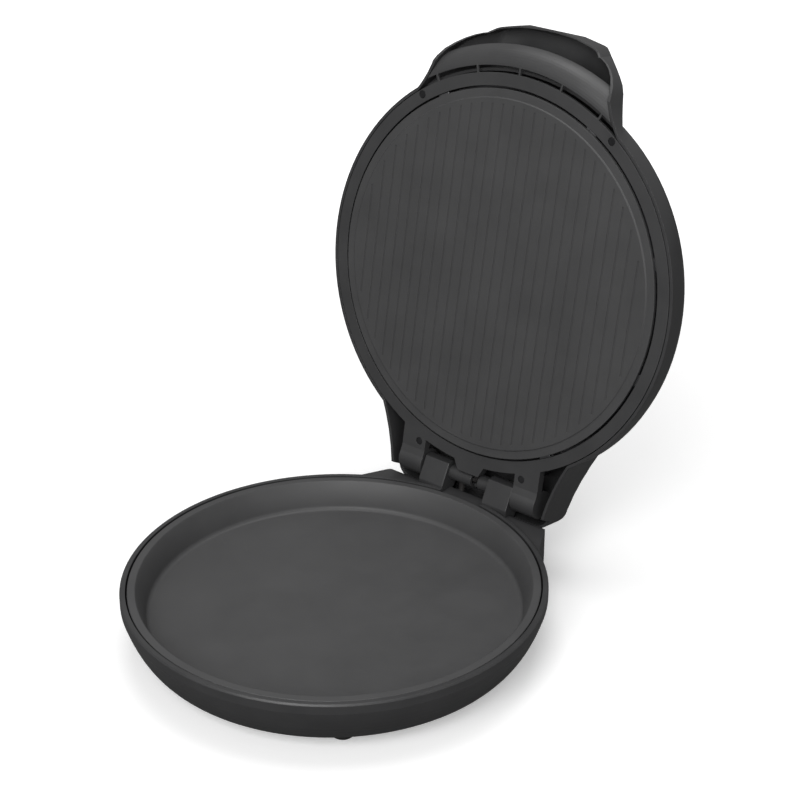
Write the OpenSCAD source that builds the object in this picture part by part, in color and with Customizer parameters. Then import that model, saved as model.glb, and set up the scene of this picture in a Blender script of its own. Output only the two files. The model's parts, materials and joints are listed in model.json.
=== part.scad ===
// Countertop pizza maker: a round bowl base with a deep pan, and a domed lid with a
// grooved plate that opens about a hinge at the back. Origin on the floor, below the
// middle of the opened appliance. The front is -Y and the hinge is at +Y.

/* [Base] */
// Outer radius of the base at its rim
base_r = 165; // [150:1:180]
// Height of the base rim above the floor
rim_z = 52; // [48:1:64]
// Distance of the edge of the flat bottom inside the rim
floor_in = 25; // [21:0.5:35]
// Wall of the moulded base
base_wall = 2.6; // [2:0.1:3.4]
// Height of the straight lip at the rim
lip_h = 8; // [5:0.5:12]
// Width of the rim's top face
lip_w = 4.4; // [3.5:0.1:5]
// Height of the feet
foot_h = 8; // [6:0.5:10]
// Radius of a foot
foot_r = 9; // [7:0.5:11]
// Bearing from straight ahead of the front feet
foot_angle = 43; // [35:1:50]
// Distance of the front feet inside the edge of the flat bottom
foot_in = 12; // [12:0.5:25]
// Half the distance between the rear feet
rear_foot_x = 60; // [45:1:66]
// Number of air slots in the bottom
vent_count = 24; // [12:2:32]

/* [Pan] */
// Clearance of the pan's flange inside the rim
pan_gap = 1.2; // [1:0.1:4]
// Width of the flange
flange_w = 7; // [4:0.5:9]
// Depth of the pan below the rim
pan_depth = 24; // [18:0.5:26]
// Thickness of the pan
pan_t = 3; // [2:0.1:4]
// Slope of the pan's wall, as its run from top to bottom
pan_run = 6; // [3:0.5:10]
// Half width of the notch at the back of the pan
notch_x = 20; // [17:0.5:20]
// Distance of the notch inside the rim
notch_in = 25; // [23:0.5:28]

/* [Hinge] */
// Distance of the hinge axis behind the rim
hinge_back = 12; // [11:0.5:15]
// Height of the hinge axis above the rim
hinge_rise = 10; // [9:0.5:11]
// Opening angle of the lid
lid_open = 100; // [90:1:104]
// Radius of the hinge pins
pin_r = 4; // [3:0.1:5]
// Radial clearance of a pin in the lid's arms
pin_gap = 0.05; // [0.02:0.01:0.1]
// Inner face of each ear, from the middle
ear_x = 20.5; // [20:0.5:23]
// Width of an ear
ear_w = 24.5; // [18:0.5:25]
// Radius of an ear's round head
ear_r = 9.5; // [7.5:0.5:10]
// Side clearance between an ear and an arm
side_gap = 1.2; // [0.6:0.1:2]
// Width of an arm
arm_w = 23.5; // [16:0.5:25]
// Radius of an arm's barrel
arm_r = 12; // [10:0.5:12]
// Outer radius of the lead barrel between the ears
barrel_r = 6.5; // [5.5:0.1:7]
// Bore radius of the lead barrel
barrel_bore_r = 4; // [3.5:0.1:4.2]

/* [Lid] */
// Gap between the rim and the closed lid
lid_gap = 1; // [0.8:0.1:2]
// Distance of the cover's flank inside the base's rim
cover_in = 0.2; // [0:0.1:3]
// Wall of the cover
cover_wall = 2.5; // [2:0.1:3.2]
// Height of the cover's straight flank
flank_h = 15; // [10:0.5:18]
// Height of the cover's shoulder
shoulder_h = 46; // [40:0.5:50]
// Distance of the crown's edge inside the cover's flank
crown_in = 44.8; // [37:0.2:55]
// Rise of the crown above the shoulder
crown_h = 4; // [2:0.5:8]
// Gap at the seam between the cover and the inner frame
seam_gap = 0.6; // [0.4:0.1:1]
// Width of the inner frame's ring
ring_w = 10.2; // [8:0.2:11]
// Thickness of the inner frame
frame_t = 3; // [2.4:0.1:3.6]
// Height of the wall that carries the lid's reflector
seat_h = 10; // [9.5:0.5:12]
// Distance of the tail's rear wall behind the hinge axis
tail_back = 22; // [20:0.5:27]
// Distance of the tail's sides outside the hinge arms
tail_out = 9.3; // [7:0.1:14]

/* [Handle] */
// Distance of the handle's tip in front of the rim
handle_out = 48; // [42:1:60]
// Half width of the handle at its tip
grip_x = 60; // [50:1:66]
// Half width of the handle's root at the seam
root_x = 86; // [80:1:92]
// Height of the lip at the tip of the handle
grip_lip = 13; // [9:0.5:16]
// Half angle of the air slot behind the handle
slot_angle = 32; // [26:1:34]
// Width of the air slot
slot_w = 5.5; // [4:0.5:6]
// Bearing between the ribs in the air slot
rib_step = 14; // [12:1:16]

/* [Upper plate] */
// Clearance of the plate inside the frame's ring
plate_gap = 1.9; // [1:0.1:3]
// Width of the plate's margin round its raised middle
margin_w = 6.6; // [4:0.2:12]
// Height of the raised middle
field_h = 0.8; // [0.4:0.1:1.5]
// Thickness of the plate
plate_t = 3; // [2.4:0.1:4]
// Distance between the grooves
groove_step = 10; // [8:0.5:16]
// Width of a groove
groove_w = 1.4; // [1:0.1:2]
// Depth of a groove
groove_d = 0.5; // [0.3:0.1:0.8]

/* [Heating] */
// Radius of the ring that a heating element makes
coil_r = 92; // [80:1:98]
// Radius of an element's tube
tube_r = 3.2; // [2.8:0.1:3.6]
// Opening in the ring at the terminals, in degrees
coil_gap = 22; // [16:1:40]
// Clearance of an element to what holds it
seat_gap = 0.3; // [0.2:0.05:0.4]
// Radius of the lead bundle
lead_r = 2.4; // [1.8:0.1:2.8]
// Thickness of the reflectors
reflector_t = 1; // [0.8:0.1:1.5]
// Radius of a fixing post
post_r = 5; // [4.5:0.1:6]
// Radius of a screw's shank
screw_r = 1.6; // [1.4:0.1:2]
// Radius of a screw's head
head_r = 3.2; // [2.8:0.1:3.6]
// Radius of a signal lens
lens_r = 5; // [4:0.1:6]

/* [Hidden] */
$fn = 96;

eps = 0.02;                           // overrun of a cut past a face
floor_r = base_r - floor_in;
body_z = foot_h;                      // underside of the base
floor_z = body_z + base_wall;         // inside floor of the base
foot_ring_r = floor_r - foot_in;
rear_foot_y = base_r - 25;
pan_r = base_r - lip_w - pan_gap;
notch_y = base_r - notch_in;
hinge_y = base_r + hinge_back;
hinge_z = rim_z + hinge_rise;
cover_r = base_r - cover_in;
shoulder_r = cover_r - crown_in;
tip_y = base_r + handle_out;
lid_z = rim_z + lid_gap;              // underside of the closed lid's frame
ring_r = cover_r - cover_wall - seam_gap;       // outer radius of the frame's ring
ring_in_r = ring_r - ring_w;          // inner radius of the ring
arm_x = ear_x + ear_w + side_gap;     // inner face of an arm
arm_out_x = arm_x + arm_w;
tail_x = arm_out_x + tail_out;
tail_y = hinge_y + tail_back;
plate_r = ring_in_r - plate_gap;
field_r = plate_r - margin_w;
seat_z = lid_z + frame_t + seat_h;    // underside of the upper reflector
plate_top_z = lid_z + 2;              // back of the upper plate
plate_face_z = plate_top_z - plate_t; // face of the upper plate
pan_floor_z = rim_z - pan_depth;      // face of the pan's floor
pan_under_z = pan_floor_z - pan_t;
shelf_z = floor_z + 2.4;              // underside of the base reflector
base_tube_z = pan_under_z - seat_gap - tube_r;
lid_tube_z = plate_top_z + seat_gap + tube_r;
clamp_t = 1;
clamp_ring_r = coil_r - tube_r - 7.5; // clamp bosses lie inside the element's ring
boss_r = 4.5;
post_ring_r = coil_r + tube_r + post_r + 2.8;
reflector_lip = 3;
base_reflector_r = post_ring_r + post_r + 3;
strap_len = 2 * tube_r + 14;
post_angles = [45, 135, 225, 315];
clamp_angles = [0, 120, 240];
wing_y = hinge_y - 5;                 // rear face of the hinge housing
wing_top_z = rim_z - 4;
bush_x = -52;                         // cord bush, left of the middle of the rear face
bush_z = 30;
bush_r = 7;
bush_bore_r = 3.6;
bush_len = 12;
crown_z = lid_z + shoulder_h + crown_h;
lens_y = 53 - base_r;
lens_x = 13;
screw_ring_r = ring_r - 4;            // frame screws near the handle lie on this circle
screw_bearing = 35;
screw_front = screw_ring_r * [sin(screw_bearing), -cos(screw_bearing)];
screw_rear = [arm_x + 6.5, base_r - 7];  // frame screws in the hinge arms
arm_pad_z = lid_z + 7;                // top of an arm where a cover boss stands on it

// Where a point of the closed lid lies once the lid is open
function open_y(y, z) = hinge_y + (y - hinge_y) * cos(lid_open) + (z - hinge_z) * sin(lid_open);
// The row's origin is below the middle of the whole, between the rim and the handle's tip
row_y = (open_y(-tip_y, lid_z + shoulder_h) - base_r) / 2;

function arc(cx, cy, r, a0, a1, n = 12) =
    [for (i = [0 : n]) [cx + r * cos(a0 + (a1 - a0) * i / n), cy + r * sin(a0 + (a1 - a0) * i / n)]];
function bend(a, b, c, t) = (1 - t) * (1 - t) * a + 2 * t * (1 - t) * b + t * t * c;
function mirrored(pts) =
    concat(pts, [for (i = [len(pts) - 1 : -1 : 0]) [-pts[i].x, pts[i].y]]);

module in_row() { translate([0, -row_y, 0]) children(); }
module on_lid() {
    in_row() translate([0, hinge_y, hinge_z]) rotate([-lid_open, 0, 0])
        translate([0, -hinge_y, -hinge_z]) children();
}
module both_sides() { children(); mirror([1, 0, 0]) children(); }
// A side view, drawn in y and z, as thick as x0 to x1
module side_slab(x0, x1, pts) {
    translate([x0, 0, 0]) rotate([90, 0, 90]) linear_extrude(x1 - x0) polygon(pts);
}
// A front view, drawn in x and z, from y0 to y1
module front_slab(y0, y1, pts) {
    translate([0, y1, 0]) rotate([90, 0, 0]) linear_extrude(y1 - y0) polygon(pts);
}
// Leads are swept tubes with rounded bends
lead_sides = 8;
lead_bend = 5;
function unit(v) = v / norm(v);
function round_bends(pts) = concat([pts[0]],
    [for (i = [1 : len(pts) - 2], k = [0 : 3]) let(t = k / 3,
        a = pts[i] + lead_bend * unit(pts[i - 1] - pts[i]), c = pts[i] + lead_bend * unit(pts[i + 1] - pts[i]))
        (1 - t) * (1 - t) * a + 2 * t * (1 - t) * pts[i] + t * t * c],
    [pts[len(pts) - 1]]);
function heading(p, i) = unit(p[min(i + 1, len(p) - 1)] - p[max(i - 1, 0)]);
function across(v, t) = unit(v - (v * t) * t);
function carried(p, i, v) = i >= len(p) ? [] :
    let(u = across(v, heading(p, i))) concat([u], carried(p, i + 1, u));
module lead(points, r) {
    p = round_bends(points);
    n = len(p);
    s = lead_sides;
    u = carried(p, 0, [0.2, 1, 0.3]);
    polyhedron(
        points = [for (i = [0 : n - 1], k = [0 : s - 1])
            p[i] + r * (cos(360 * k / s) * u[i] + sin(360 * k / s) * cross(heading(p, i), u[i]))],
        faces = concat([[for (k = [s - 1 : -1 : 0]) k]], [[for (k = [0 : s - 1]) (n - 1) * s + k]],
            [for (i = [0 : n - 2], k = [0 : s - 1]) let(j = (k + 1) % s)
                [i * s + k, i * s + j, (i + 1) * s + j, (i + 1) * s + k]]));
}

// ---- base -------------------------------------------------------------------

// Half section of the bowl, moved inwards by i
function bowl_side(i) = [for (k = [0 : 12]) let(t = k / 12)
    [bend(floor_r, base_r - 10, base_r, t) - i,
     bend(body_z, body_z + 2, rim_z - lip_h, t) + i * (1 - t)]];
module bowl(i, top) {
    rotate_extrude($fn = 128)
        polygon(concat([[0, body_z + i]], bowl_side(i), [[base_r - i, top], [0, top]]));
}
module bowl_shell() {
    difference() {
        union() {
            bowl(0, rim_z - 1.2);
            translate([0, 0, rim_z - 1.2 - eps]) cylinder(h = 1.2 + eps, r1 = base_r, r2 = base_r - 1.2, $fn = 128);
        }
        bowl(base_wall, rim_z - lip_h + eps);
        translate([0, 0, rim_z - lip_h]) cylinder(h = lip_h + 1, r = base_r - lip_w, $fn = 128);
    }
}
// Hinge housing behind the bowl: outline from above, and from the side
module hinge_housing() {
    side_x = tail_x + 2;
    flare_x = side_x + 23;
    flare_y = base_r - 43;
    root_y = base_r - 75;
    corner = 7;
    rear = mirrored(concat([[flare_x - 6, flare_y - 25], [flare_x, flare_y]],
        arc(side_x - corner, wing_y - corner, corner, 12, 90, 6)));
    difference() {
        intersection() {
            translate([0, 0, body_z]) linear_extrude(rim_z) polygon(rear);
            side_slab(-flare_x - 1, flare_x + 1, concat(
                [[root_y, body_z], [wing_y - 16, body_z], [wing_y, body_z + 12]],
                arc(wing_y - corner, wing_top_z - corner, corner, 0, 90, 6),
                [[root_y, wing_top_z]]));
        }
        bowl(base_wall / 2, rim_z + 1);
    }
}
// Ear with a sloping front and a round head on the hinge axis
module ear() {
    toe_y = hinge_y - 14;
    brow_y = hinge_y - 2.5;
    brow_z = hinge_z + 8.6;
    difference() {
        union() {
            side_slab(ear_x, ear_x + ear_w, [[toe_y, lid_z], [brow_y, brow_z], [hinge_y, hinge_z + ear_r],
                [hinge_y + ear_r, hinge_z], [hinge_y + 4, wing_top_z + 4], [wing_y - 1, wing_top_z - 8],
                [toe_y, wing_top_z - 8]]);
            translate([ear_x, hinge_y, hinge_z]) rotate([0, 90, 0]) cylinder(h = ear_w, r = ear_r);
        }
        translate([ear_x - 1, hinge_y, hinge_z]) rotate([0, 90, 0]) cylinder(h = ear_w + 2, r = pin_r);
    }
}
module foot_at(name) {
    x = foot_ring_r * sin(foot_angle);
    y = -foot_ring_r * cos(foot_angle);
    if (name == "front_left") translate([-x, y, 0]) children();
    if (name == "front_right") translate([x, y, 0]) children();
    if (name == "rear_left") translate([-rear_foot_x, rear_foot_y, 0]) children();
    if (name == "rear_right") translate([rear_foot_x, rear_foot_y, 0]) children();
}
foot_names = ["front_left", "front_right", "rear_left", "rear_right"];
stud_r = 3.4;                          // the stud that holds a foot in the bottom
stud_gap = 0.1;
module at_posts() { for (a = post_angles) rotate(a) translate([post_ring_r, 0, 0]) children(); }

module base_housing() {
    color("#2c2d2e") in_row() difference() {
        union() {
            bowl_shell();
            hinge_housing();
            both_sides() ear();
            at_posts() {
                translate([0, 0, body_z + 1]) cylinder(h = shelf_z - body_z - 1, r = post_r + 2.4, $fn = 48);
                translate([0, 0, body_z + 1]) cylinder(h = pan_under_z - 5 - body_z - 1, r = post_r, $fn = 48);
            }
        }
        // screw ways up through the posts, with room for the heads below
        at_posts() {
            translate([0, 0, body_z - 1]) cylinder(h = 40, r = screw_r + 0.1, $fn = 32);
            translate([0, 0, body_z - 1]) cylinder(h = 4, r = head_r + 0.3, $fn = 32);
        }
        // air slots in the bottom
        for (k = [0 : vent_count - 1]) rotate(360 * k / vent_count)
            translate([0.34 * floor_r, -1.5, body_z - 1]) cube([0.19 * floor_r, 3, base_wall + 2]);
        // channel at the back, where the leads pass below the lid's tongue
        translate([-ear_x + eps, notch_y - 1, rim_z - 15]) cube([2 * (ear_x - eps), 60, 40]);
        // cord bush
        translate([bush_x, wing_y - 30, bush_z]) rotate([-90, 0, 0]) cylinder(h = 40, r = bush_r, $fn = 48);
        for (n = foot_names) foot_at(n)
            translate([0, 0, body_z - 1]) cylinder(h = base_wall + 4, r = stud_r + stud_gap, $fn = 32);
    }
}

module foot(name) {
    edge = 2;
    color("#161616") in_row() foot_at(name) {
        rotate_extrude($fn = 48) polygon(concat([[0, 0]], arc(foot_r - edge, edge, edge, -90, 0, 5),
            [[foot_r, body_z], [0, body_z]]));
        translate([0, 0, body_z - eps]) cylinder(h = base_wall + 1.5, r = stud_r, $fn = 32);
    }
}

module lower_pan() {
    wall_top_r = pan_r - flange_w;
    wall_low_r = wall_top_r - pan_run;
    round_r = 4;
    inner = concat([[0, pan_floor_z]],
        arc(wall_low_r - round_r, pan_floor_z + round_r, round_r, -90, 0, 5),
        [[wall_top_r, rim_z - 1.5], [wall_top_r + 1, rim_z - 0.5]]);
    outer = [[pan_r, rim_z - 0.5], [pan_r, rim_z - 0.5 - pan_t * 0.8],
        [wall_top_r + pan_t, rim_z - 0.5 - pan_t * 0.8],
        [wall_low_r + pan_t, pan_under_z + round_r], [wall_low_r, pan_under_z], [0, pan_under_z]];
    color("#3a3b3c") in_row() difference() {
        union() {
            difference() {
                rotate_extrude($fn = 128) polygon(concat(inner, outer));
                translate([-notch_x, notch_y, 0]) cube([2 * notch_x, 60, rim_z + 10]);
            }
            // wall that closes the notch
            intersection() {
                translate([-notch_x - pan_t, notch_y - pan_t, pan_under_z + eps])
                    cube([2 * (notch_x + pan_t), pan_t, rim_z - 1.6 - pan_under_z - eps]);
                translate([0, 0, pan_under_z]) cylinder(h = rim_z, r = wall_low_r + pan_t + 1);
            }
            at_posts() translate([0, 0, pan_under_z - 5]) cylinder(h = 5 + eps, r = post_r, $fn = 48);
            for (a = clamp_angles) rotate(a + 90) translate([clamp_ring_r, 0, base_tube_z - tube_r - seat_gap])
                cylinder(h = pan_under_z - base_tube_z + tube_r + seat_gap + eps, r = boss_r, $fn = 32);
        }
        at_posts() translate([0, 0, pan_under_z - 6]) cylinder(h = 7.4, r = screw_r, $fn = 32);
        for (a = clamp_angles) rotate(a + 90) translate([clamp_ring_r, 0, 0])
            translate([0, 0, base_tube_z - tube_r - 1]) cylinder(h = 6, r = screw_r, $fn = 32);
    }
}

// Heating element: a ring with a gap at the back, and a stub at each end for its lead
stub_len = 14;
stub_r = tube_r * 0.85;
stub_x = coil_r * sin(coil_gap / 2) + tube_r;    // a stub stands just inside the end of the ring
stub_y = sqrt(coil_r * coil_r - stub_x * stub_x);
module element_ring(z) {
    a = coil_gap / 2;
    translate([0, 0, z]) {
        rotate(90 + a) rotate_extrude(angle = 360 - 2 * a, $fn = 96) translate([coil_r, 0]) circle(r = tube_r, $fn = 24);
        both_sides() translate([stub_x, stub_y, 0]) rotate([-90, 0, 0]) cylinder(h = stub_len, r = stub_r, $fn = 24);
    }
}
module lower_element() { color("#55524e") in_row() element_ring(base_tube_z); }

// Straps that hold an element: flat plates screwed to bosses inside its ring
module straps(z) {
    for (a = clamp_angles) rotate(a + 90) translate([clamp_ring_r, 0, z]) difference() {
        union() {
            cylinder(h = clamp_t, r = boss_r + 0.5, $fn = 32);
            translate([0, -boss_r, 0]) cube([strap_len, 2 * boss_r, clamp_t]);
        }
        translate([0, 0, -1]) cylinder(h = clamp_t + 2, r = screw_r + 0.1, $fn = 32);
    }
}
module clamp_screw_set(z, up) {
    for (a = clamp_angles) rotate(a + 90) translate([clamp_ring_r, 0, z])
        mirror([0, 0, up ? 0 : 1]) {
            translate([0, 0, -2]) cylinder(h = 2, r = head_r, $fn = 24);
            translate([0, 0, -eps]) cylinder(h = 5, r = screw_r - 0.02, $fn = 24);
        }
}
base_strap_z = base_tube_z - tube_r - seat_gap - clamp_t;
module lower_clamps() { color("#b8babd") in_row() straps(base_strap_z); }
module lower_clamp_screws() { color("#b8babd") in_row() clamp_screw_set(base_strap_z, true); }

module lower_reflector() {
    lip = reflector_lip;
    hole_r = 0.33 * coil_r;
    color("#c3c5c8") in_row() difference() {
        rotate_extrude($fn = 96) polygon([[hole_r, shelf_z], [base_reflector_r, shelf_z],
            [base_reflector_r + lip, shelf_z + lip], [base_reflector_r + lip - 1.2, shelf_z + lip + 0.6],
            [base_reflector_r - 0.6, shelf_z + reflector_t], [hole_r, shelf_z + reflector_t]]);
        at_posts() translate([0, 0, 0]) cylinder(h = 60, r = post_r + 0.3, $fn = 48);
    }
}

// Disc thermostat on a bracket, its cap against the plate it senses
module thermostat(z, down) {
    s = down ? -1 : 1;
    mirror([0, 0, down ? 1 : 0]) translate([0, 0, s * z]) {
        cylinder(h = 7, r = 9, $fn = 48);
        translate([-13, -5, 0]) cube([26, 10, 0.9]);
        both_sides() translate([4, -3, 6.9]) cube([0.9, 6, 3.5]);
    }
}
module lower_thermostat() { color("#c9b38a") in_row() thermostat(pan_under_z - seat_gap, true); }
fuse_r = 2.5;
fuse_len = 16;
fuse_x = 40;
fuse_y = 40;
module thermal_fuse() {
    color("#d8d2c4") in_row() translate([fuse_x, fuse_y, pan_under_z - seat_gap - fuse_r]) {
        rotate([0, 90, 0]) cylinder(h = fuse_len, r = fuse_r, center = true, $fn = 32);
        translate([-3, -4.5, fuse_r - 0.6]) cube([6, 9, 0.6]);
    }
}

block_size = [40, 13, 9];
block_y = base_reflector_r + reflector_lip + 10;
module terminal_block() {
    color("#e6e1d3") in_row() difference() {
        translate([-block_size.x / 2, block_y, floor_z]) cube(block_size);
        for (k = [-1 : 1]) translate([k * 12, block_y + block_size.y / 2, floor_z + 4])
            cylinder(h = 10, r = 2.6, $fn = 24);
        for (k = [-1 : 1]) translate([k * 12 + 6, block_y - 1, floor_z + 3])
            cube([0.8, block_size.y + 2, block_size.z]);
    }
}

// Leads: element stubs to the terminal block, and the block to the hinge axis
lead_x = 11;
core_r = lead_r * 0.75;
module base_leads() {
    end_y = stub_y + stub_len + 0.2;
    color("#7c3a2e") in_row() {
        both_sides() lead([[stub_x, end_y, base_tube_z], [stub_x, end_y + 6, base_tube_z],
            [stub_x - 5, block_y - 6, floor_z + 5.5], [stub_x - 5, block_y - 0.4, floor_z + 5.5]], core_r);
        lead([[-lead_x, block_y + block_size.y + 0.4, floor_z + 5], [-lead_x, notch_y + 6, floor_z + 5],
              [-lead_x, notch_y + 14, rim_z - 10], [-lead_x, hinge_y, hinge_z - 16],
              [-lead_x, hinge_y, hinge_z], [-0.4, hinge_y, hinge_z]], lead_r);
    }
}

module pan_screws() {
    color("#b8babd") in_row() at_posts() {
        translate([0, 0, body_z + 1]) cylinder(h = 2 - eps, r = head_r, $fn = 24);
        translate([0, 0, body_z + 3 - eps]) cylinder(h = pan_under_z - body_z - 3, r = screw_r - 0.02, $fn = 24);
    }
}

module cord_bush() {
    flange = 1.6;
    color("#161616") in_row() translate([bush_x, wing_y, bush_z]) rotate([-90, 0, 0]) difference() {
        union() {
            cylinder(h = flange, r = bush_r + 2, $fn = 48);
            translate([0, 0, -bush_len]) cylinder(h = bush_len + eps, r = bush_r - 0.02, $fn = 48);
        }
        translate([0, 0, -bush_len - 1]) cylinder(h = bush_len + flange + 2, r = bush_bore_r, $fn = 48);
    }
}

// ---- hinge ------------------------------------------------------------------

pin_in_x = ear_x + 2;
pin_out_x = arm_out_x - 1.5;
module hinge_pin() {
    translate([pin_in_x, hinge_y, hinge_z]) rotate([0, 90, 0])
        cylinder(h = pin_out_x - pin_in_x, r = pin_r - 0.01, $fn = 96);
}
module hinge_pin_left() { color("#b8babd") in_row() mirror([1, 0, 0]) hinge_pin(); }
module hinge_pin_right() { color("#b8babd") in_row() hinge_pin(); }

lid_exit_x = 5.6;                       // where the lid's lead leaves the axis
// Barrel between the ears that guides the leads along the hinge axis
module lead_barrel() {
    half = ear_x - 0.1;
    win = 2 * lead_r + 2;
    color("#2c2d2e") in_row() translate([0, hinge_y, hinge_z]) difference() {
        rotate([0, 90, 0]) cylinder(h = 2 * half, r = barrel_r, center = true, $fn = 48);
        rotate([0, 90, 0]) cylinder(h = 2 * half + 2, r = barrel_bore_r, center = true, $fn = 48);
        translate([-lead_x - win / 2, -lead_r - 0.6, -10]) cube([win, 2 * lead_r + 1.2, 10]);
        translate([lid_exit_x - win / 2, -20, -barrel_r]) cube([win, 20, 2 * barrel_r]);
        translate([lid_exit_x - win / 2, -eps, -lead_r - 1]) cube([win, lead_r + 3, 30]);
    }
}

// ---- lid, drawn closed and turned open about the hinge -------------------------

// Outer form of the dome, moved inwards by i
module dome(i) {
    side = [for (k = [0 : 10]) let(t = k / 10)
        [bend(cover_r, cover_r - 7, shoulder_r, t) - i * (1 - 0.6 * t),
         lid_z + bend(flank_h, shoulder_h - 4, shoulder_h, t) - i * t]];
    crown = [for (k = [1 : 8]) let(t = k / 8)
        [shoulder_r * (1 - t), lid_z + shoulder_h + crown_h * (1 - (1 - t) * (1 - t)) - i]];
    bottom = i > 0 ? -1 : 0;
    rotate_extrude($fn = 128)
        polygon(concat([[0, lid_z + bottom], [cover_r - i, lid_z + bottom]], side, crown));
}
// Outer form of the tail that covers the hinge
module tail(i) {
    root = tail_x + 25;
    front_y = base_r - 105;
    side_y = base_r - 47;
    corner = 14;
    low = i > 0 ? -1 : 0;
    roof_z = lid_z + 37;
    plan = mirrored(concat([[root - 20 - i, front_y], [root - i, side_y]],
        [for (k = [1 : 5]) let(t = k / 5)
            [bend(root, tail_x + 6, tail_x, t) - i, bend(side_y, side_y + 32, tail_y - corner, t)]],
        arc(tail_x - corner, tail_y - corner, corner - i, 5, 90, 6)));
    intersection() {
        translate([0, 0, lid_z + low]) linear_extrude(60) polygon(plan);
        side_slab(-root - 1, root + 1, concat(
            [[front_y, lid_z + low], [tail_y - i, lid_z + low]],
            arc(tail_y - 12, roof_z - 14, 12 - i, 0, 80, 6),
            [[base_r - 15, roof_z + 4 - i], [side_y, lid_z + shoulder_h - 3 - i],
             [front_y, lid_z + shoulder_h - i]]));
    }
}
// Outer form of the handle: it leaves the dome in a hollow curve on each side
module handle(i) {
    corner = 17;
    bow_r = 230;
    low = i > 0 ? -60 : 0;
    top_z = lid_z + shoulder_h;
    back_y = 75 - base_r;
    root_y = 39 - base_r;
    waist_y = -base_r - 5;
    plan = mirrored(concat(
        [[root_x + 16 - i, back_y], [root_x + 16 - i, root_y]],
        [for (k = [1 : 6]) let(t = k / 6)
            [bend(root_x + 16, root_x - 1, root_x - 5, t) - i, bend(root_y, root_y - 20, waist_y, t)]],
        [for (k = [1 : 4]) let(t = k / 4)
            [bend(root_x - 5, root_x - 8, grip_x + 6, t) - i, bend(waist_y, waist_y - 18, 19 - tip_y, t)]],
        arc(grip_x - corner + 4, -tip_y + corner + 7, corner - i, -22, -75, 5),
        [for (k = [1 : 5]) let(x = (grip_x - corner) * (1 - k / 5))
            [x, -tip_y + i + bow_r - sqrt(bow_r * bow_r - x * x)]]));
    intersection() {
        translate([0, 0, lid_z + low]) linear_extrude(130) polygon(plan);
        // the sides lean in towards the top
        front_slab(-tip_y - 1, back_y + 30, [[-root_x - 30, lid_z + low - 1], [root_x + 30, lid_z + low - 1],
            [root_x + 16 - i, lid_z], [grip_x + 3 - i, top_z - 5], [grip_x - 3 - i, top_z - i * 0.7],
            [0, top_z + 1.2 - i], [-grip_x + 3 + i, top_z - i * 0.7], [-grip_x - 3 + i, top_z - 5],
            [-root_x - 16 + i, lid_z]]);
        side_slab(-base_r, base_r, [[-tip_y + i, lid_z + low - 2], [back_y + 30, lid_z + low - 2],
            [back_y + 30, top_z + 2 - i], [15 - base_r, top_z + 1.5 - i], [-tip_y + 9, top_z - i], [-tip_y + 2.5 + i, top_z - 3 - i * 0.5],
            [-tip_y + i, top_z - grip_lip]]);
    }
}
slot_top = 7;                          // height of the air way under the dome's front wall
module handle_hollow() {
    difference() {
        handle(cover_wall);
        difference() {
            dome(0);
            translate([0, 0, lid_z - 2]) cylinder(h = slot_top + 2, r = cover_r + 5, $fn = 128);
        }
    }
}
module handle_edge_cut() {
    // the side walls rise from the seam to the lip at the tip
    side_slab(-base_r, base_r, [[-tip_y - 9, lid_z - 70], [16 - base_r, lid_z - 70], [16 - base_r, lid_z],
        [7 - base_r, lid_z], [-tip_y + 14, lid_z + shoulder_h - grip_lip - 5],
        [-tip_y - 9, lid_z + shoulder_h - grip_lip]]);
}
module frame_screw_spots() {
    both_sides() { translate(screw_front) children(); }
}
module arm_screw_spots() {
    both_sides() { translate(screw_rear) children(); }
}
boss_out_r = 3.3;

module lid_cover() {
    color("#2c2d2e") on_lid() difference() {
        union() {
            difference() {
                union() { dome(0); tail(0); handle(0); }
                dome(cover_wall);
                tail(cover_wall);
                handle_hollow();
                handle_edge_cut();
                // the tail's edge steps up, clear of the base
                side_slab(-base_r, base_r, [[hinge_y + 6, lid_z - 5], [tail_y + 5, lid_z - 5],
                    [tail_y + 5, hinge_z + 2], [hinge_y + 12, hinge_z + 2]]);
            }
            // bosses for the frame screws
            intersection() {
                union() { dome(1); tail(1); }
                union() {
                    frame_screw_spots() translate([0, 0, lid_z + frame_t])
                        cylinder(h = shoulder_h, r = boss_out_r, $fn = 32);
                    arm_screw_spots() translate([0, 0, arm_pad_z])
                        cylinder(h = shoulder_h, r = boss_out_r + 1, $fn = 32);
                }
            }
        }
        frame_screw_spots() translate([0, 0, lid_z]) cylinder(h = frame_t + 12, r = screw_r, $fn = 32);
        arm_screw_spots() translate([0, 0, lid_z]) cylinder(h = 20, r = screw_r, $fn = 32);
        for (s = [-1, 1]) translate([s * lens_x, lens_y, lid_z + 20]) cylinder(h = 60, r = lens_r + 0.1, $fn = 32);
    }
}

// Hinge arm of the inner frame: a flat pad, a ledge and a barrel round the pin
module arm() {
    difference() {
        union() {
            side_slab(arm_x, arm_out_x, [[base_r - 23, lid_z], [hinge_y - 12, lid_z], [hinge_y - 3, hinge_z - arm_r + 1],
                [hinge_y + arm_r - 2, hinge_z], [hinge_y, hinge_z + arm_r], [hinge_y - 9, hinge_z + 7],
                [hinge_y - 12, arm_pad_z], [base_r - 23, arm_pad_z]]);
            translate([arm_x, hinge_y, hinge_z]) rotate([0, 90, 0]) cylinder(h = arm_w, r = arm_r);
        }
        translate([arm_x - 1, hinge_y, hinge_z]) rotate([0, 90, 0])
            cylinder(h = pin_out_x - arm_x + 1.4, r = pin_r + pin_gap);
        // the arm stands outside the plate's ring
        translate([0, 0, lid_z - 1]) cylinder(h = 20, r = ring_in_r + 4, $fn = 128);
    }
}
tongue_top_x = 16.5;
tongue_low_x = 10.5;
tongue_y = hinge_y - 7;
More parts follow.
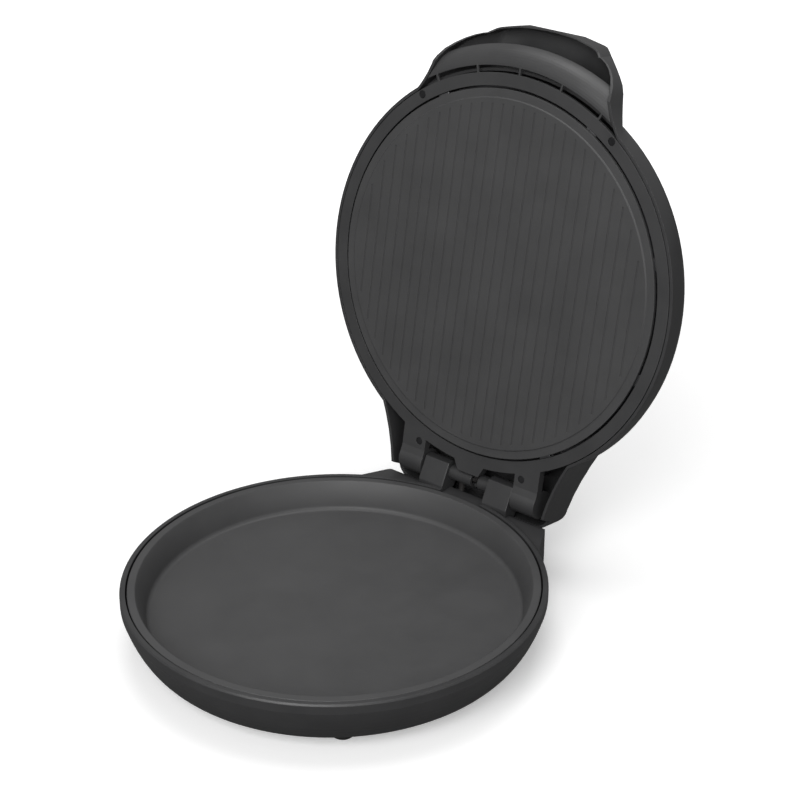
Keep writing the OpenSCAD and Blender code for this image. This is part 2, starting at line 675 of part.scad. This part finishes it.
module tongue() {
    difference() {
        translate([0, 0, lid_z]) linear_extrude(9)
            polygon([[-tongue_top_x, base_r - 17], [tongue_top_x, base_r - 17], [tongue_top_x, base_r - 7],
                [tongue_low_x, tongue_y], [-tongue_low_x, tongue_y], [-tongue_top_x, base_r - 7]]);
        // hollow behind, for the leads
        translate([0, 0, lid_z + 2.2]) linear_extrude(9)
            polygon([[-tongue_top_x + 2, base_r - 25], [tongue_top_x - 2, base_r - 25],
                [tongue_top_x - 2, base_r - 7.5], [tongue_low_x - 2, tongue_y + 1],
                [-tongue_low_x + 2, tongue_y + 1], [-tongue_top_x + 2, base_r - 7.5]]);
        translate([0, 0, lid_z - 1]) cylinder(h = 20, r = ring_in_r + 0.5, $fn = 128);
    }
}
// Curved apron in front of the air slot, that closes the back of the handle's hollow
module apron() {
    in_r = ring_r + slot_w;
    intersection() {
        rotate(-90 - slot_angle - 4) rotate_extrude(angle = 2 * (slot_angle + 4), $fn = 128) polygon(concat(
            arc(in_r - 0.5, lid_z + 17, 17, -88, -14, 10),
            arc(in_r - 0.5, lid_z + 17, 14.8, -14, -88, 10)));
        handle(cover_wall + seam_gap);
    }
}
module lid_frame() {
    color("#333435") on_lid() difference() {
        union() {
            translate([0, 0, lid_z]) difference() {
                cylinder(h = frame_t, r = ring_r, $fn = 128);
                translate([0, 0, -1]) cylinder(h = frame_t + 2, r = ring_in_r, $fn = 128);
            }
            difference() {
                translate([0, 0, lid_z + 1]) cylinder(h = seat_z - lid_z - 1, r = ring_in_r + 2, $fn = 128);
                translate([0, 0, lid_z]) cylinder(h = 20, r = ring_in_r, $fn = 128);
                // way for the leads
                translate([-10, ring_in_r - 20, lid_z + 2.2]) cube([20, 40, 20]);
            }
            both_sides() arm();
            tongue();
            apron();
            for (k = [-2 : 2]) rotate(k * rib_step) translate([-0.8, -ring_r - slot_w - 0.6, lid_z])
                cube([1.6, slot_w + 1.4, 2]);
        }
        frame_screw_spots() translate([0, 0, lid_z]) {
            translate([0, 0, -1]) cylinder(h = 2.2, r = head_r, $fn = 24);
            cylinder(h = 20, r = screw_r + 0.1, $fn = 32);
        }
        arm_screw_spots() translate([0, 0, lid_z]) {
            translate([0, 0, -1]) cylinder(h = 2.2, r = head_r, $fn = 24);
            cylinder(h = 20, r = screw_r + 0.1, $fn = 32);
        }
    }
}

// Grooved plate: the grooves run from the hinge to the handle
module upper_plate() {
    field_edge = field_r - 5;
    count = floor(field_edge / groove_step);
    color("#3a3b3c") on_lid() difference() {
        union() {
            translate([0, 0, plate_face_z]) cylinder(h = plate_t, r = plate_r, $fn = 128);
            translate([0, 0, plate_face_z - field_h]) cylinder(h = field_h + eps, r1 = field_r - 0.8, r2 = field_r, $fn = 128);
            rotate(90) for (a = clamp_angles) rotate(a) translate([clamp_ring_r, 0, plate_top_z - eps])
                cylinder(h = lid_tube_z + tube_r + seat_gap - plate_top_z + eps, r = boss_r, $fn = 32);
            at_posts() translate([0, 0, plate_top_z - eps])
                cylinder(h = seat_z - plate_top_z + eps, r = post_r, $fn = 48);
        }
        for (k = [-count : count]) let(x = k * groove_step, len = sqrt(field_edge * field_edge - x * x))
            translate([x - groove_w / 2, -len, plate_face_z - field_h - 1]) cube([groove_w, 2 * len, 1 + groove_d]);
        rotate(90) for (a = clamp_angles) rotate(a) translate([clamp_ring_r, 0, plate_top_z + 1])
            cylinder(h = 12, r = screw_r, $fn = 32);
        at_posts() translate([0, 0, plate_top_z + 2]) cylinder(h = 30, r = screw_r, $fn = 32);
    }
}
module upper_element() { color("#55524e") on_lid() element_ring(lid_tube_z); }
lid_strap_z = lid_tube_z + tube_r + seat_gap;
module upper_clamps() { color("#b8babd") on_lid() straps(lid_strap_z); }
module upper_clamp_screws() { color("#b8babd") on_lid() clamp_screw_set(lid_strap_z + clamp_t, false); }

module upper_reflector() {
    dish_r = 0.42 * coil_r;
    color("#c3c5c8") on_lid() difference() {
        union() {
            translate([0, 0, seat_z]) cylinder(h = reflector_t, r = ring_in_r + 1.8, $fn = 128);
            translate([0, 0, seat_z]) cylinder(h = 4, r = dish_r + 1.2, $fn = 64);
        }
        translate([0, 0, seat_z - 1]) cylinder(h = 4, r = dish_r, $fn = 64);
        at_posts() translate([0, 0, seat_z - 1]) cylinder(h = 4, r = screw_r + 0.1, $fn = 32);
    }
}
module upper_thermostat() { color("#c9b38a") on_lid() thermostat(plate_top_z + seat_gap, false); }

module plate_screws() {
    color("#b8babd") on_lid() at_posts() {
        translate([0, 0, seat_z + reflector_t]) cylinder(h = 2, r = head_r, $fn = 24);
        translate([0, 0, seat_z - 7]) cylinder(h = 8 + eps, r = screw_r - 0.02, $fn = 24);
    }
}
// Spring tabs that hold the edge of the plate in the frame
clip_angles = [18, 62, 118, 162, 198, 242, 298, 342];
module plate_clips() {
    color("#8d8f92") on_lid() for (a = clip_angles) rotate(a) {
        translate([plate_r - 5, -5, plate_top_z]) cube([6, 10, 0.8]);
        translate([ring_in_r - 0.9, -5, plate_top_z]) cube([0.8, 10, 6]);
    }
}
module frame_screws() {
    color("#26272a") on_lid() {
        frame_screw_spots() {
            translate([0, 0, lid_z + 0.2]) cylinder(h = 1, r = head_r - 0.2, $fn = 24);
            translate([0, 0, lid_z + 1.2 - eps]) cylinder(h = frame_t + 9, r = screw_r - 0.02, $fn = 24);
        }
        arm_screw_spots() {
            translate([0, 0, lid_z + 0.2]) cylinder(h = 1, r = head_r - 0.2, $fn = 24);
            translate([0, 0, lid_z + 1.2 - eps]) cylinder(h = 15, r = screw_r - 0.02, $fn = 24);
        }
    }
}

// Signal lens in the crown, near the handle
module lens(side) {
    lens_z = crown_z - crown_h + crown_h * (1 - pow(norm([lens_x, lens_y]) / shoulder_r, 2));
    on_lid() translate([side * lens_x, lens_y, lens_z]) rotate_extrude($fn = 32)
        polygon(concat([[0, -cover_wall - 1.5], [lens_r + 1.5, -cover_wall - 1.5], [lens_r + 1.5, -cover_wall - 0.5],
            [lens_r, -cover_wall - 0.5], [lens_r, 0]], [for (a = [15 : 15 : 90]) [lens_r * cos(a), 1.6 * sin(a)]]));
}
module power_lens() { color("#a52a22") lens(-1); }
module ready_lens() { color("#3c8a45") lens(1); }

// Leads of the lid: from the hinge axis to the stubs of its element
module lid_leads() {
    end_y = stub_y + stub_len + 0.2;
    way_x = lid_exit_x;
    way_z = lid_z + 6;
    join_y = ring_in_r - 11;
    color("#7c3a2e") on_lid() {
        lead([[0.4, hinge_y, hinge_z], [lid_exit_x, hinge_y, hinge_z], [way_x, tongue_y - 4, way_z],
            [way_x, join_y, way_z]], lead_r);
        lead([[way_x + core_r + 0.1, join_y - 0.3, way_z], [way_x + core_r + 0.1, join_y - 11, way_z],
            [stub_x, end_y + 9, lid_tube_z], [stub_x, end_y, lid_tube_z]], core_r);
        lead([[way_x - core_r - 0.1, join_y - 0.3, way_z], [way_x - core_r - 0.1, join_y - 11, way_z],
            [-stub_x, end_y + 9, lid_tube_z], [-stub_x, end_y, lid_tube_z]], core_r);
    }
}

base_housing();
lower_pan();
lower_element();
lower_clamps();
lower_clamp_screws();
lower_reflector();
lower_thermostat();
thermal_fuse();
terminal_block();
base_leads();
pan_screws();
cord_bush();
foot("front_left");  // foot_front_left
foot("front_right");  // foot_front_right
foot("rear_left");  // foot_rear_left
foot("rear_right");  // foot_rear_right
hinge_pin_left();
hinge_pin_right();
lead_barrel();
lid_cover();
lid_frame();
upper_plate();
upper_element();
upper_clamps();
upper_clamp_screws();
upper_reflector();
upper_thermostat();
plate_screws();
plate_clips();
frame_screws();
power_lens();
ready_lens();
lid_leads();
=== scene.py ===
import json
import math

import bmesh
import bpy
from mathutils import Matrix, Vector


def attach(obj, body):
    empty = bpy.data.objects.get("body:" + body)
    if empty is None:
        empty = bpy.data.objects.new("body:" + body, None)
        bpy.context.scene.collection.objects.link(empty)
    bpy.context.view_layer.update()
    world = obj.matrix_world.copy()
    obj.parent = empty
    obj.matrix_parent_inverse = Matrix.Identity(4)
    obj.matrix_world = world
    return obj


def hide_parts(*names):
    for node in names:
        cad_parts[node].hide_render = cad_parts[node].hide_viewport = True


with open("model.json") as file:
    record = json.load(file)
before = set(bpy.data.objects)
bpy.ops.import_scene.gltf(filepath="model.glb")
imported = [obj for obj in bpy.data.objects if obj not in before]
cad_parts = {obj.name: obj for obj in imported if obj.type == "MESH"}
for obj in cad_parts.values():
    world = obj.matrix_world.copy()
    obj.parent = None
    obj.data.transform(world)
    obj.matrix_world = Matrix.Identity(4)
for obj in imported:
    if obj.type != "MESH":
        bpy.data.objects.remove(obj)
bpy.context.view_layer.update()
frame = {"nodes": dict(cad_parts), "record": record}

NODES = frame["nodes"]

# ---- sizes shared with the part, in metres -----------------------------------
BASE_R = 0.165
ROW_Y = -0.05808            # middle of the base
RIM_Z = 0.052
PAN_R = BASE_R - 0.0056     # the pan's flange lies inside the base's lip
PAN_TOP = RIM_Z - 0.0005
PAN_WALL = 0.003
PAN_FLOOR = RIM_Z - 0.024
HINGE = Vector((0.0, ROW_Y + BASE_R + 0.012, RIM_Z + 0.010))
LID_OPEN = math.radians(100)
EAR_X = 0.0205              # inner face of an ear
EAR_W = 0.0245
SKIN = 0.0001               # a new piece stands this far off an ear's face
MERGE = 1e-6                # vertices closer than this become one

# ---- sizes of the new pieces, in metres --------------------------------------
# Rings of pegs below the pan: radius of the ring, first bearing, count, peg's radius, length
PAN_PEGS = ((0.103, 45, 4, 0.005, 0.005), (0.0813, 90, 3, 0.0045, 0.007))
PEG_SUNK = 0.0002           # depth of a peg's end inside the pan's floor
BLOCK_ROUND = 0.0006
DECK_THICK = 0.0009
DECK_LIP = 0.010            # drop of the deck's rear edge
# The cover's handle, by how far a point lies in front of the rim
HANDLE_REACH = 0.048
HANDLE_DRAW = 0.36          # share of its length that is drawn in
HANDLE_NARROW = 0.25        # share of its width that goes at the tip; from 0.28 its walls cross
HANDLE_TAPER = 1.2
HANDLE_RISE = 0.0025

# ---- camera --------------------------------------------------------------------
CAMERA_AZ = math.radians(38.9)
CAMERA_EL = math.radians(27.1)
CAMERA_DIST = 1.3585
CAMERA_TARGET = Vector((0.0649, ROW_Y, RIM_Z + 0.1751))
FOCAL_PX = 1910.1
PICTURE_PX = 800.0
SENSOR_MM = 36.0

# ---- light and floor -----------------------------------------------------------
LIGHT_AIM = (0.0, 0.0, 0.15)
# Name, place, side of the square, power in watts
LIGHTS = (("key", (0.7, -2.1, 1.8), 1.6, 49.0),
          ("side", (2.2, -1.2, 0.9), 1.2, 10.0),
          ("overhead", (-0.2, 0.3, 2.4), 1.4, 22.0))
ROOM_LIGHT = 0.27
FLOOR_HALF = 8.0
FLOOR_BOUNCE = 0.16         # how bright the floor is where it lights the part
FLOOR_PAPER = 0.9           # how bright it is to the camera
# The glow that keeps it white is painted light. It is weakest near the part, where shadows show and the
# weaker glow is painted shade, and strongest far away
FLOOR_GLOW = (("From Min", 0.35), ("From Max", 1.3), ("To Min", 0.32), ("To Max", 0.80))

# ---- looks ---------------------------------------------------------------------
PATCH_SCALE = 26.0
PATCH_DETAIL = 4.0
GRAIN_DETAIL = 2.0
NOISE_ROUGH = 0.6
GRAIN_IN_ROUGHNESS = 0.3
EDGE_ROUND = 0.0006
# Darkest and lightest tone, and range of roughness, for each of the part's material slots
LOOKS = {
    "housing_plastic": dict(dark=(0.036, 0.036, 0.037), light=(0.046, 0.046, 0.047), rough=(0.34, 0.44)),
    "frame_plastic": dict(dark=(0.042, 0.042, 0.043), light=(0.050, 0.050, 0.051), rough=(0.40, 0.50)),
    "nonstick_coating": dict(dark=(0.054, 0.054, 0.055), light=(0.062, 0.062, 0.063),
                             rough=(0.48, 0.58), grain=2600.0),
    "element_sheath": dict(dark=(0.10, 0.085, 0.07), light=(0.17, 0.15, 0.13), rough=(0.4, 0.6),
                           metallic=1.0),
    "zinc_steel": dict(dark=(0.42, 0.43, 0.44), light=(0.55, 0.56, 0.58), rough=(0.25, 0.4),
                       metallic=1.0),
    "clip_steel": dict(dark=(0.22, 0.22, 0.23), light=(0.32, 0.32, 0.33), rough=(0.3, 0.45),
                       metallic=1.0),
    "black_screw": dict(dark=(0.02, 0.02, 0.021), light=(0.04, 0.04, 0.042), rough=(0.35, 0.5),
                        metallic=0.6),
    "reflector_sheet": dict(dark=(0.20, 0.20, 0.21), light=(0.30, 0.30, 0.31), rough=(0.3, 0.42),
                            metallic=1.0, stretch=(1, 12, 1)),
    "thermostat_ceramic": dict(dark=(0.50, 0.38, 0.22), light=(0.62, 0.49, 0.31), rough=(0.5, 0.7)),
    "terminal_ceramic": dict(dark=(0.68, 0.65, 0.56), light=(0.80, 0.77, 0.68), rough=(0.5, 0.7)),
    "lead_sleeve": dict(dark=(0.010, 0.009, 0.009), light=(0.022, 0.020, 0.019), rough=(0.7, 0.85),
                        grain=3200.0, depth=0.0002, strength=0.6),
    "black_rubber": dict(dark=(0.012, 0.012, 0.012), light=(0.018, 0.018, 0.018), rough=(0.6, 0.75)),
    "red_lens": dict(dark=(0.30, 0.02, 0.015), light=(0.42, 0.03, 0.02), rough=(0.08, 0.15)),
    "green_lens": dict(dark=(0.03, 0.18, 0.05), light=(0.05, 0.26, 0.07), rough=(0.08, 0.15)),
}


def add_camera():
    way = Vector((math.sin(CAMERA_AZ) * math.cos(CAMERA_EL),
                  -math.cos(CAMERA_AZ) * math.cos(CAMERA_EL), math.sin(CAMERA_EL)))
    data = bpy.data.cameras.new("view")
    cam = bpy.data.objects.new("view", data)
    bpy.context.collection.objects.link(cam)
    cam.location = CAMERA_TARGET + CAMERA_DIST * way
    cam.rotation_euler = (-way).to_track_quat("-Z", "Y").to_euler()
    data.sensor_width = SENSOR_MM
    data.lens = FOCAL_PX * SENSOR_MM / PICTURE_PX
    data.clip_start, data.clip_end = 0.05, 20.0
    bpy.context.scene.camera = cam


# ---- materials -----------------------------------------------------------------
def new_material(name):
    mat = bpy.data.materials.new(name)
    mat.use_nodes = True
    tree = mat.node_tree
    tree.nodes.clear()
    out = tree.nodes.new("ShaderNodeOutputMaterial")
    shader = tree.nodes.new("ShaderNodeBsdfPrincipled")
    tree.links.new(shader.outputs["BSDF"], out.inputs["Surface"])
    return mat, tree, shader, out


def noise(tree, scale, detail, stretch):
    where = tree.nodes.new("ShaderNodeTexCoord")
    tex = tree.nodes.new("ShaderNodeTexNoise")
    tex.inputs["Scale"].default_value = scale
    tex.inputs["Detail"].default_value = detail
    tex.inputs["Roughness"].default_value = NOISE_ROUGH
    source = where.outputs["Object"]
    if stretch:
        maps = tree.nodes.new("ShaderNodeMapping")
        maps.inputs["Scale"].default_value = stretch
        tree.links.new(source, maps.inputs["Vector"])
        source = maps.outputs["Vector"]
    tree.links.new(source, tex.inputs["Vector"])
    return tex.outputs["Fac"]


def spread(tree, fac, taken, given):
    """Map one range of values onto another."""
    node = tree.nodes.new("ShaderNodeMapRange")
    node.inputs["From Min"].default_value, node.inputs["From Max"].default_value = taken
    node.inputs["To Min"].default_value, node.inputs["To Max"].default_value = given
    tree.links.new(fac, node.inputs["Value"])
    return node.outputs["Result"]


def shade(tree, fac, dark, light):
    node = tree.nodes.new("ShaderNodeMix")
    node.data_type = "RGBA"
    node.inputs["A"].default_value = (*dark, 1)
    node.inputs["B"].default_value = (*light, 1)
    tree.links.new(fac, node.inputs["Factor"])
    return node.outputs["Result"]


def bump(tree, shader, height, strength, distance):
    """Fine relief from a height, over corners that are rounded by a hair."""
    round_edge = tree.nodes.new("ShaderNodeBevel")
    round_edge.samples = 4
    round_edge.inputs["Radius"].default_value = EDGE_ROUND
    node = tree.nodes.new("ShaderNodeBump")
    node.inputs["Strength"].default_value = strength
    node.inputs["Distance"].default_value = distance
    tree.links.new(height, node.inputs["Height"])
    tree.links.new(round_edge.outputs["Normal"], node.inputs["Normal"])
    tree.links.new(node.outputs["Normal"], shader.inputs["Normal"])


def surface(name, dark, light, rough, grain=1800.0, depth=0.00004, strength=0.25, metallic=0.0,
            stretch=None):
    """A moulded, coated or metal surface: slow patches of tone, and a fine grain in the bump."""
    mat, tree, shader, _ = new_material(name)
    slow = spread(tree, noise(tree, PATCH_SCALE, PATCH_DETAIL, stretch), (0.3, 0.7), (0.0, 1.0))
    fine = noise(tree, grain, GRAIN_DETAIL, stretch)
    tree.links.new(shade(tree, slow, dark, light), shader.inputs["Base Color"])
    mix = tree.nodes.new("ShaderNodeMath")
    mix.operation = "MULTIPLY_ADD"
    tree.links.new(fine, mix.inputs[0])
    mix.inputs[1].default_value = GRAIN_IN_ROUGHNESS
    tree.links.new(slow, mix.inputs[2])
    tree.links.new(spread(tree, mix.outputs[0], (0.1, 1.2), rough), shader.inputs["Roughness"])
    shader.inputs["Metallic"].default_value = metallic
    bump(tree, shader, fine, strength, depth)
    return mat


def dress_nodes(mats):
    slots = {part["node"]: part["material_slot"] for part in frame["record"]["subparts"]}
    for name, obj in NODES.items():
        obj.data.materials.clear()
        obj.data.materials.append(mats[slots[name]])


# ---- pieces --------------------------------------------------------------------
def new_piece(name, work, mats, slot, body):
    """A finished mesh becomes a piece on a body; its place is in its mesh."""
    mesh = bpy.data.meshes.new(name)
    work.to_mesh(mesh)
    work.free()
    piece = bpy.data.objects.new(name, mesh)
    bpy.context.collection.objects.link(piece)
    mesh.materials.append(mats[slot])
    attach(piece, body)
    return piece


def smooth_over(work, degrees):
    """Smooth faces, with sharp edges where the surface turns by more than the angle."""
    for face in work.faces:
        face.smooth = True
    for edge in work.edges:
        edge.smooth = len(edge.link_faces) == 2 and edge.calc_face_angle() < math.radians(degrees)


def pan_outline():
    """Half section of the pan, from the middle of its floor round to the middle below."""
    wall_top, floor_edge, curve = PAN_R - 0.007, PAN_R - 0.013, 0.004
    inside = [(0.0, PAN_FLOOR)]
    for step in range(7):
        turn = math.radians(-90 + 15 * step)
        inside.append((floor_edge - curve + curve * math.cos(turn),
                       PAN_FLOOR + curve + curve * math.sin(turn)))
    flange_z = PAN_TOP - 0.8 * PAN_WALL
    return inside + [(wall_top, PAN_TOP - 0.001), (wall_top + 0.001, PAN_TOP), (PAN_R - 0.0005, PAN_TOP),
                     (PAN_R, PAN_TOP - 0.0005), (PAN_R, flange_z), (wall_top + PAN_WALL, flange_z),
                     (floor_edge + PAN_WALL, PAN_FLOOR + 0.002), (floor_edge, PAN_FLOOR - PAN_WALL),
                     (0.0, PAN_FLOOR - PAN_WALL)]


def make_pan(mats):
    """The whole round pan, with the posts and bosses below its floor."""
    work = bmesh.new()
    verts = [work.verts.new((0.0, -r, z)) for r, z in pan_outline()]
    edges = [work.edges.new(pair) for pair in zip(verts, verts[1:])]
    bmesh.ops.spin(work, geom=verts + edges, cent=(0, 0, 0), axis=(0, 0, 1), angle=math.tau, steps=128,
                   use_merge=True, use_duplicate=False)
    bmesh.ops.remove_doubles(work, verts=work.verts[:], dist=MERGE)
    for ring, first, count, radius, length in PAN_PEGS:
        for k in range(count):
            turn = math.radians(first + 360 * k / count)
            place = Matrix.Translation((ring * math.cos(turn), ring * math.sin(turn),
                                        PAN_FLOOR - PAN_WALL - length / 2 + PEG_SUNK))
            bmesh.ops.create_cone(work, cap_ends=True, segments=32, radius1=radius, radius2=radius,
                                  depth=length, matrix=place)
    bmesh.ops.recalc_face_normals(work, faces=work.faces[:])
    bmesh.ops.translate(work, verts=work.verts[:], vec=(0, ROW_Y, 0))
    smooth_over(work, 35.0)
    pan = new_piece("pan", work, mats, "nonstick_coating", "base")
    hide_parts("lower_pan")


def prism(work, low_x, high_x, side):
    """A block between two planes across the hinge, from its outline seen from the side."""
    face = work.faces.new([work.verts.new((low_x, y, z)) for y, z in side])
    moved = bmesh.ops.extrude_face_region(work, geom=[face])["geom"]
    corners = [part for part in moved if isinstance(part, bmesh.types.BMVert)]
    bmesh.ops.translate(work, verts=corners, vec=(high_x - low_x, 0, 0))
    bmesh.ops.recalc_face_normals(work, faces=work.faces[:])


def make_hinge_blocks(mats):
    """A flat-faced block over each ear, which the lid's arms turn beside."""
    y, z = HINGE.y, HINGE.z
    toe, brow, back = y - 0.0155, y - 0.0060, y + 0.0070
    side = [(toe, RIM_Z + 0.0018), (brow, z + 0.0097), (y + 0.0005, z + 0.0099),
            (back, z + 0.0068), (back, z - 0.006), (toe, z - 0.014)]
    for name, sign in (("hinge_block_left", -1), ("hinge_block_right", 1)):
        work = bmesh.new()
        prism(work, sign * (EAR_X - SKIN), sign * (EAR_X + EAR_W + SKIN), side)
        bmesh.ops.bevel(work, geom=work.edges[:], offset=BLOCK_ROUND, segments=2, profile=0.5,
                        affect="EDGES", material=-1)
        smooth_over(work, 12.0)
        new_piece(name, work, mats, "housing_plastic", "base")


def make_channel_deck(mats):
    """The thin deck that closes the channel between the ears, below the lid's tongue."""
    work = bmesh.new()
    front, back, top = ROW_Y + 0.1562, HINGE.y - 0.0036, RIM_Z - 0.0031
    prism(work, -EAR_X + SKIN, EAR_X - SKIN,
          [(front, top), (back, top), (back, top - DECK_LIP), (back - DECK_THICK, top - DECK_LIP),
           (back - DECK_THICK, top - DECK_THICK), (front, top - DECK_THICK)])
    new_piece("channel_deck", work, mats, "housing_plastic", "base")


def make_cover(mats):
    """The lid's cover, with its handle drawn in and narrowed towards the tip.

    The mesh is shaped as it lies when shut, then turned back open.
    """
    shut = Matrix.Translation(HINGE) @ Matrix.Rotation(LID_OPEN, 4, "X") @ Matrix.Translation(-HINGE)
    rim_y = ROW_Y - BASE_R
    work = bmesh.new()
    work.from_mesh(NODES["lid_cover"].data)
    bmesh.ops.remove_doubles(work, verts=work.verts[:], dist=MERGE)
    work.transform(shut)
    for vert in work.verts:
        out = (rim_y - vert.co.y) / HANDLE_REACH
        if out > 0:
            vert.co.y = rim_y - HANDLE_REACH * out * (1 - HANDLE_DRAW)
            vert.co.x *= 1 - HANDLE_NARROW * min(out, 1.0) ** HANDLE_TAPER
            vert.co.z += HANDLE_RISE * min(out, 1.0)
    work.transform(shut.inverted())
    smooth_over(work, 30.0)
    cover = new_piece("cover", work, mats, "housing_plastic", "lid")
    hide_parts("lid_cover")


# ---- stage ---------------------------------------------------------------------
def split_by_ray(tree, lit, seen, out):
    """Camera rays meet one shader, and all other rays the other."""
    path = tree.nodes.new("ShaderNodeLightPath")
    mix = tree.nodes.new("ShaderNodeMixShader")
    tree.links.new(path.outputs["Is Camera Ray"], mix.inputs["Fac"])
    tree.links.new(lit, mix.inputs[1])
    tree.links.new(seen, mix.inputs[2])
    tree.links.new(mix.outputs["Shader"], out.inputs["Surface"])


def white_room_floor():
    """White where the camera sees it, with the shadows kept and deepened near the part by a painted
    shade, a glow of painted light that is weaker there; dim where it lights the part.
    """
    mat, tree, shader, out = new_material("floor_white")
    shader.inputs["Base Color"].default_value = (FLOOR_BOUNCE, FLOOR_BOUNCE, FLOOR_BOUNCE, 1)
    shader.inputs["Roughness"].default_value = 1.0
    shader.inputs["Specular IOR Level"].default_value = 0.0
    paper = tree.nodes.new("ShaderNodeBsdfDiffuse")
    paper.inputs["Color"].default_value = (FLOOR_PAPER, FLOOR_PAPER, FLOOR_PAPER, 1)
    glow = tree.nodes.new("ShaderNodeEmission")
    place = tree.nodes.new("ShaderNodeTexCoord")
    away = tree.nodes.new("ShaderNodeVectorMath")
    away.operation = "LENGTH"
    # Painted shade: the floor's glow is weaker near the part than far away
    glow_fade_painted_shade = tree.nodes.new("ShaderNodeMapRange")
    for socket, value in FLOOR_GLOW:
        glow_fade_painted_shade.inputs[socket].default_value = value
    tree.links.new(place.outputs["Object"], away.inputs[0])
    tree.links.new(away.outputs["Value"], glow_fade_painted_shade.inputs["Value"])
    tree.links.new(glow_fade_painted_shade.outputs["Result"], glow.inputs["Strength"])
    both = tree.nodes.new("ShaderNodeAddShader")
    tree.links.new(paper.outputs["BSDF"], both.inputs[0])
    tree.links.new(glow.outputs["Emission"], both.inputs[1])
    split_by_ray(tree, shader.outputs["BSDF"], both.outputs["Shader"], out)
    return mat


def add_stage():
    mesh = bpy.data.meshes.new("floor")
    work = bmesh.new()
    bmesh.ops.create_grid(work, x_segments=1, y_segments=1, size=FLOOR_HALF)
    work.to_mesh(mesh)
    work.free()
    floor = bpy.data.objects.new("floor", mesh)
    bpy.context.collection.objects.link(floor)
    mesh.materials.append(white_room_floor())


def add_lights():
    for name, where, size, power in LIGHTS:
        data = bpy.data.lights.new(name, "AREA")
        data.shape = "RECTANGLE"
        data.size = data.size_y = size
        data.energy = power
        light = bpy.data.objects.new(name, data)
        bpy.context.collection.objects.link(light)
        light.location = where
        light.rotation_euler = (Vector(LIGHT_AIM) - Vector(where)).to_track_quat("-Z", "Y").to_euler()


def add_room():
    """A world that is white to the camera and dimmer where it lights the part."""
    world = bpy.data.worlds.new("white_room")
    bpy.context.scene.world = world
    world.use_nodes = True
    tree = world.node_tree
    tree.nodes.clear()
    out = tree.nodes.new("ShaderNodeOutputWorld")
    seen, lit = (tree.nodes.new("ShaderNodeBackground") for _ in range(2))
    for node, strength in ((seen, 1.0), (lit, ROOM_LIGHT)):
        node.inputs["Color"].default_value = (1, 1, 1, 1)
        node.inputs["Strength"].default_value = strength
    split_by_ray(tree, lit.outputs["Background"], seen.outputs["Background"], out)


def main():
    bpy.context.scene.view_settings.view_transform = "Standard"
    add_camera()
    mats = {name: surface(name, **look) for name, look in LOOKS.items()}
    dress_nodes(mats)
    make_pan(mats)
    make_hinge_blocks(mats)
    make_channel_deck(mats)
    make_cover(mats)
    add_stage()
    add_lights()
    add_room()


main()
